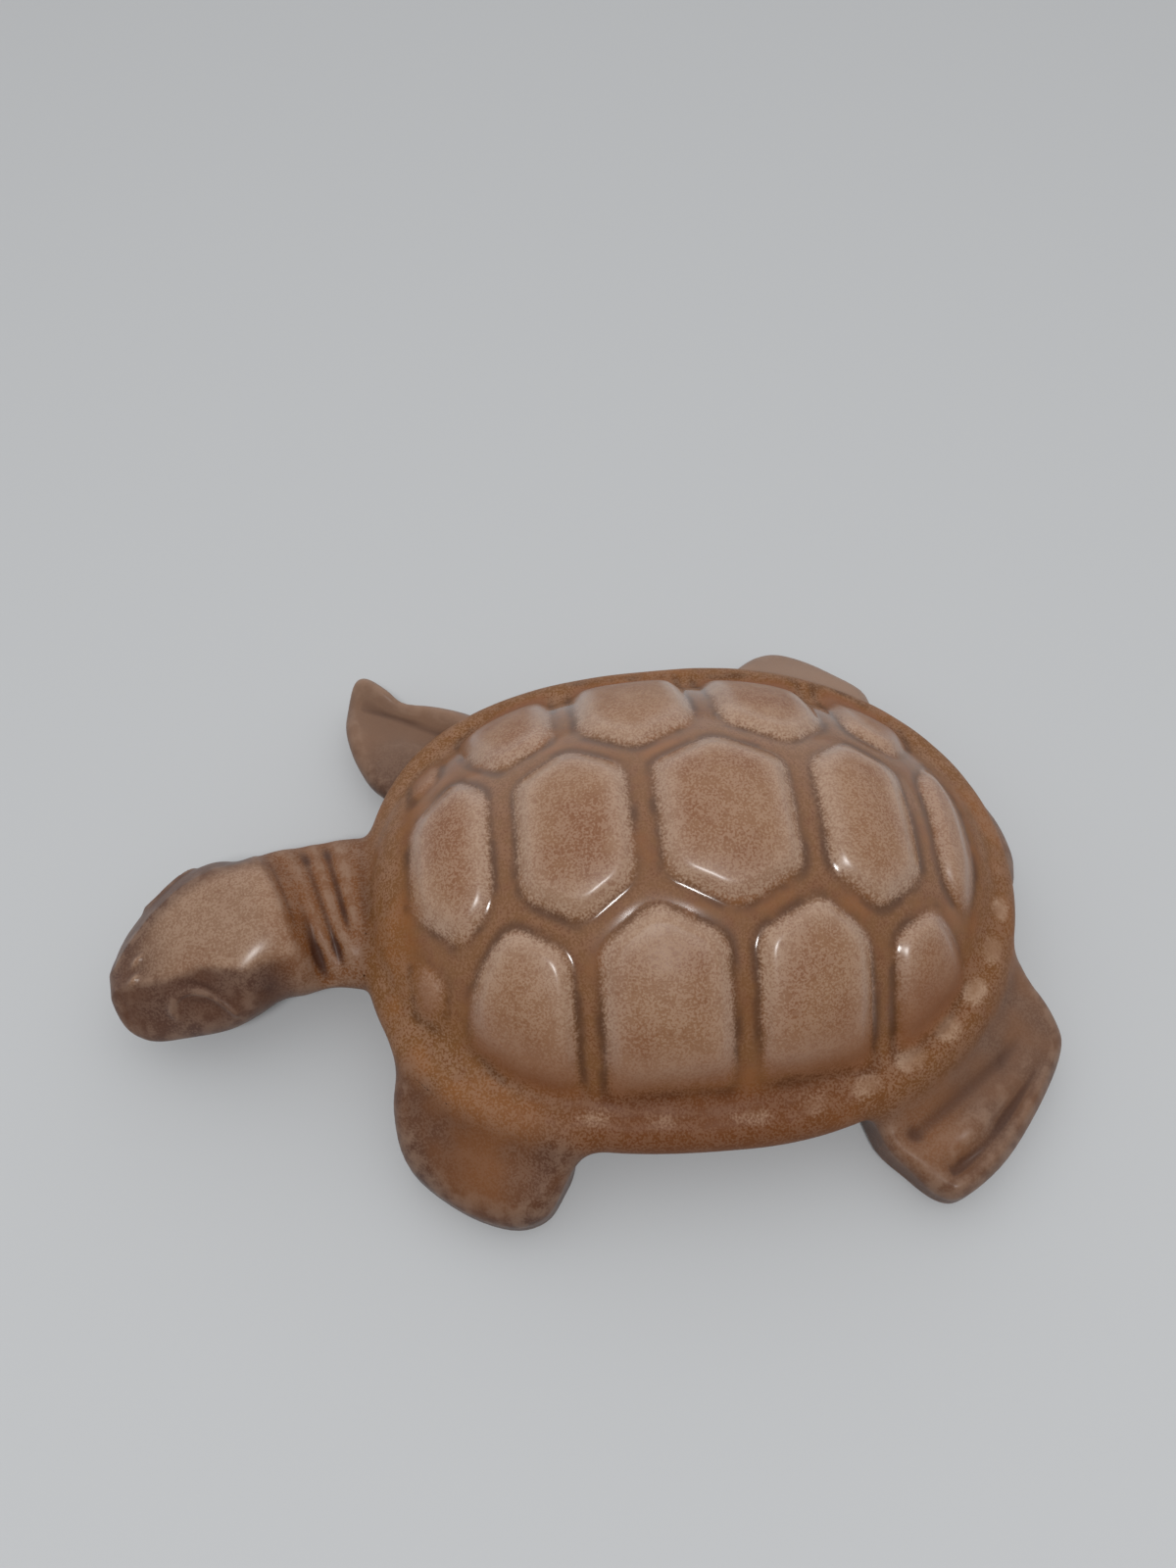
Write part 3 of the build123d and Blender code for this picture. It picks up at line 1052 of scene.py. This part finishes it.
class Glaze(Shader):
    """The speckled glaze: pale on the scutes and high places, honey where it pools, mauve on the skin."""

    def __init__(self, name):
        super().__init__(name)
        self.speckle = self.noise(*speckle_noise)
        self.mottle = self.noise(*mottle_noise)
        self.cloud = self.noise(*cloud_noise)
        self.depth = self.attribute("scute_depth")
        self.inset = self.attribute("rim_inset")
        self.height = self.attribute("height")
        self.on_shell = self.attribute("shell")
        self.on_neck = self.attribute("neck")
        self.on_crown = self.attribute("crown")
        # The rim's near side, where shade is painted
        self.near_rim_shade = self.attribute("near_rim_shade")
        self.low = self.times(self.on_shell, self.ease(self.height, *low_run))
        self.grain = self.ease(self.plus(self.speckle, self.times(self.mottle, grain_mottle)), *grain_run)
        self.ragged = self.plus(self.mottle, self.times(self.speckle, ragged_speckle))
        self.frayed = self.plus(self.depth, self.less(self.ragged, ragged_mean))
        self.on_pad = self.ease(self.frayed, *pad_start_run)
        self.rubbed = self.ease(self.attribute("bend"), *rubbed_run)
        # Concave places, darkened for glaze pooling and for painted shade
        self.pool_and_shade = self.ease(self.attribute("bend"), *pool_and_shade_run)

    def pad(self):
        """A scute: tan, browner where it is worn or low, pale in its grain and at its edge."""
        worn = self.ease(self.plus(self.cloud, self.times(self.mottle, worn_mottle)), *worn_run)
        base = self.mix(worn, pad_tan, pad_brown)
        base = self.mix(self.times(self.low, low_brown), base, pad_brown)
        edge = self.times(self.ease(self.frayed, *pad_edge_run), pad_edge_pale)
        pale = self.plus(edge, self.times(self.grain, pad_grain_pale))
        pale = self.times(pale, self.less(1.0, self.times(self.low, low_pale_loss)))
        base = self.mix(pale, base, pad_pale)
        fleck = self.ease(self.noise(*fleck_noise), *fleck_run)
        return self.mix(self.times(fleck, fleck_brown), base, pad_brown)

    def groove(self):
        """The grooves: honey with brown, amber and grain, dark in hollows and at the scutes' feet, where
        glaze pools and shade is painted.
        """
        base = self.mix(self.ease(self.mottle, *groove_brown_run), honey, rim_brown)
        base = self.mix(self.ease(self.cloud, *groove_amber_run), base, amber)
        base = self.mix(self.times(self.grain, self.ease(self.cloud, *groove_grain_run)), base, pad_tan)
        # Hollows darkened: glaze pooling and painted shade
        base = self.mix(self.times(self.pool_and_shade, self.ease(self.cloud, *groove_pool_run)), base, honey_dark)
        # The scutes' feet darkened: glaze pooling and painted shade
        foot = self.times(self.ease(self.depth, *foot_outer_run), self.ease(self.depth, *foot_inner_run))
        pools = self.ease(self.noise(*pool_noise), *foot_pool_run)
        return self.mix(self.times(foot, pools), base, honey_dark)

    def rim(self, groove):
        """The rim: the grooves' glaze, with a painted shade on the near side that darkens it and thins its
        pale dust, and with scuffed pads and pale dust.
        """
        # Painted shade: the rim's near side is darkened toward a deep brown
        base = self.mix(self.times(self.near_rim_shade, painted_rim_shade_share), groove, rim_shade_colour)
        pads = self.plus(self.attribute("marginal"), self.times(self.ragged, scuff_ragged))
        patches = self.ease(self.noise(*patch_noise), *patch_run)
        scuffed = self.times(self.ease(pads, *scuff_run), patches)
        dust = self.times(self.grain, self.between(self.near_rim_shade, *rim_dust))
        return self.mix(self.larger(scuffed, dust), base, pad_pale)

    def shell(self, pad):
        """The shell: pads over grooves, and the rim round both."""
        groove = self.groove()
        base = self.mix(self.ease(self.inset, *rim_run), groove, self.rim(groove))
        return self.mix(self.on_pad, base, pad)

    def skin(self, pad):
        """Head and limbs: mauve to amber, red where sunk (glaze pooling and painted shade) or low (painted
        shade), paler on the far side (painted sheen) and toward the rear, pale where rubbed, with a pale
        crown plate and painted highlights on the nostrils.
        """
        base = self.mix(self.ease(self.cloud, *skin_amber_run), skin_mauve, skin_amber)
        base = self.mix(self.times(self.on_neck, neck_brown_share), base, neck_brown)
        base = self.mix(self.times(self.attribute("face"), face_mauve_share), base, face_mauve)
        # Painted sheen: paler skin on the far side, and paler toward the rear
        base = self.mix(self.attribute("far_sheen_and_rear_pale"), base, skin_pale)
        base = self.mix(self.attribute("warmth"), base, amber)
        dusted = self.plus(self.ease(self.cloud, *skin_dust_run), self.times(self.on_neck, neck_dust))
        base = self.mix(self.times(self.grain, dusted), base, skin_pale)
        # Painted shade with glaze pooling: the hollows redden, most of all in the neck's wrinkles
        sunk = self.times(self.pool_and_shade, self.between(self.on_neck, *neck_sunk))
        # Painted shade: the skin also reddens toward the floor
        base = self.mix(self.larger(sunk, self.ease(self.height, *shade_run)), base, skin_red)
        scoured = self.plus(self.ease(self.mottle, *scour_run), self.times(self.on_neck, neck_scour))
        base = self.mix(self.times(self.rubbed, scoured), base, skin_pale)
        # The crown plate takes the scutes' pale glaze; at the nostrils this is a painted highlight
        return self.mix(self.times(self.on_crown, crown_pad), base, pad)

    def gloss(self):
        """Satin pads, a coat on the skin and the scutes' shoulders, wetter in the grooves, and a relief."""
        on_dome = self.ease(self.inset, *coat_run)
        wet = self.times(on_dome, self.ease(self.depth, *wet_run))
        lustre = self.times(on_dome, self.ease(self.depth, *lustre_run))
        on_skin = self.times(self.less(1.0, self.on_shell), self.between(self.on_neck, *neck_coat))
        on_skin = self.larger(on_skin, self.times(self.on_crown, crown_coat))
        satin = self.times(self.times(self.on_shell, self.on_pad), self.ease(self.low, *satin_run))
        self.put("Specular IOR Level", self.between(satin, *satin_specular))
        self.put("Coat Weight", self.larger(lustre, on_skin))
        self.put("Coat Roughness", self.between(wet, *wet_roughness))
        self.put("Roughness", self.ease(self.speckle, *rough_run))
        relief = self.plus(self.times(self.mottle, relief_mottle), self.times(self.speckle, relief_speckle))
        self.bump(relief, glaze_relief)


def glaze(name):
    """The one glaze of shell and skin, which changes over their seam."""
    s = Glaze(name)
    pad = s.pad()
    s.put("Base Color", s.mix(s.on_shell, s.skin(pad), s.shell(pad)))
    s.gloss()
    return s.material


def bisque(name):
    """Unglazed clay on the foot, glazed from the foot's edge up."""
    s = Shader(name)
    speckle = s.noise(*clay_speckle_noise)
    bare = s.mix(s.ease(speckle, *clay_pale_run), clay, pad_pale)
    bare = s.mix(s.ease(s.noise(*clay_cloud_noise), *clay_brown_run), bare, rim_brown)
    glazed = s.mix(s.ease(speckle, *dish_pale_run), skin_amber, skin_pale)
    height = s.attribute("height")
    s.put("Base Color", s.mix(s.ease(height, *dish_glaze_run), bare, glazed))
    s.put("Roughness", s.ease(height, *dish_glaze_run, *dish_roughness))
    s.bump(speckle, clay_relief)
    return s.material


# Pieces


def add_piece(name, place, points, quads, sides, normals, maps, material):
    """One piece of the skin, closed where it meets its neighbours, in place of its node."""
    own = place + 1
    faces = np.concatenate((quads[sides[:, 0] == own], quads[sides[:, 1] == own][:, ::-1]))
    used, faces = np.unique(faces, return_inverse=True)
    faces = faces.reshape(-1, 4)
    mesh = bpy.data.meshes.new(name)
    mesh.from_pydata((points[used] / metre).tolist(), [], faces.tolist())
    for title, values in maps.items():
        layer = mesh.attributes.new(title, "FLOAT", "POINT")
        layer.data.foreach_set("value", values[used].astype(np.float32))
    mesh.shade_smooth()
    mesh.normals_split_custom_set_from_vertices(normals[used].tolist())
    mesh.materials.append(material)
    piece = bpy.data.objects.new("glazed_" + name, mesh)
    bpy.context.scene.collection.objects.link(piece)
    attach(piece, "root")
    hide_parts(name)


points, quads, sides, normals, skin = sculpt()
maps = glaze_maps(points, skin)
materials = {
    "shell_glaze": glaze("shell_glaze"),
    "skin_glaze": glaze("skin_glaze"),
    "base_clay": bisque("base_clay"),
}
for place, name in enumerate(piece_names):
    add_piece(name, place, points, quads, sides, normals, maps, materials[slots[name]])

# The floor, the light and the camera
floor_half = 3.0
floor_grey = colour(196, 198, 200)
floor_roughness = 0.9
floor_specular = 0.1
near_light = 0.12
far_light = 1.05
lamp_place = Vector((-0.05, -0.48, 0.98))
lamp_target = Vector((0, 0, 0.02))
lamp_size = 0.2
lamp_power = 4.8
lens = 27.05
sensor = 36.0
near_clip = 0.01
camera_place = Vector((-0.02433, -0.08335, 0.19439))
camera_azimuth = math.radians(-4.95)
camera_elevation = math.radians(60.0)


def add_floor():
    """A plain pale floor."""
    s = Shader("floor_grey")
    s.put("Base Color", floor_grey)
    s.put("Roughness", floor_roughness)
    s.put("Specular IOR Level", floor_specular)
    mesh = bpy.data.meshes.new("floor")
    corners = [(x, y, 0) for x, y in ((-1, -1), (1, -1), (1, 1), (-1, 1))]
    mesh.from_pydata([Vector(c) * floor_half for c in corners], [], [(0, 1, 2, 3)])
    mesh.materials.append(s.material)
    floor = bpy.data.objects.new("floor", mesh)
    bpy.context.scene.collection.objects.link(floor)


def add_lamp():
    """A small soft lamp over the near side, aimed at the figure."""
    lamp = bpy.data.lights.new("overhead", "AREA")
    lamp.size = lamp_size
    lamp.energy = lamp_power
    holder = bpy.data.objects.new("overhead", lamp)
    holder.location = lamp_place
    holder.rotation_euler = (lamp_target - lamp_place).to_track_quat("-Z", "Y").to_euler()
    bpy.context.scene.collection.objects.link(holder)


def add_world():
    """A pale surround, lighter on the far side."""
    world = bpy.data.worlds.new("surround")
    world.use_nodes = True
    nodes, links = world.node_tree.nodes, world.node_tree.links
    direction = nodes.new("ShaderNodeTexCoord").outputs["Generated"]
    split = nodes.new("ShaderNodeSeparateXYZ")
    links.new(direction, split.inputs[0])
    light = nodes.new("ShaderNodeMapRange")
    links.new(split.outputs["Y"], light.inputs["Value"])
    light.inputs["From Min"].default_value = -1
    light.inputs["To Min"].default_value = near_light
    light.inputs["To Max"].default_value = far_light
    links.new(light.outputs[0], nodes["Background"].inputs["Strength"])
    nodes["Background"].inputs["Color"].default_value = (1, 1, 1, 1)
    bpy.context.scene.world = world


def add_camera():
    """The photograph's view."""
    data = bpy.data.cameras.new("camera")
    data.sensor_width = sensor
    data.lens = lens
    data.clip_start = near_clip
    camera = bpy.data.objects.new("camera", data)
    a, e = camera_azimuth, camera_elevation
    back = Vector((math.sin(a) * math.cos(e), -math.cos(a) * math.cos(e), math.sin(e)))
    right = Vector((math.cos(a), math.sin(a), 0))
    turn = Matrix((right, back.cross(right), back)).transposed()
    camera.matrix_world = Matrix.Translation(camera_place) @ turn.to_4x4()
    bpy.context.scene.collection.objects.link(camera)
    bpy.context.scene.camera = camera


add_floor()
add_world()
add_lamp()
add_camera()
bpy.context.scene.view_settings.view_transform = "Standard"
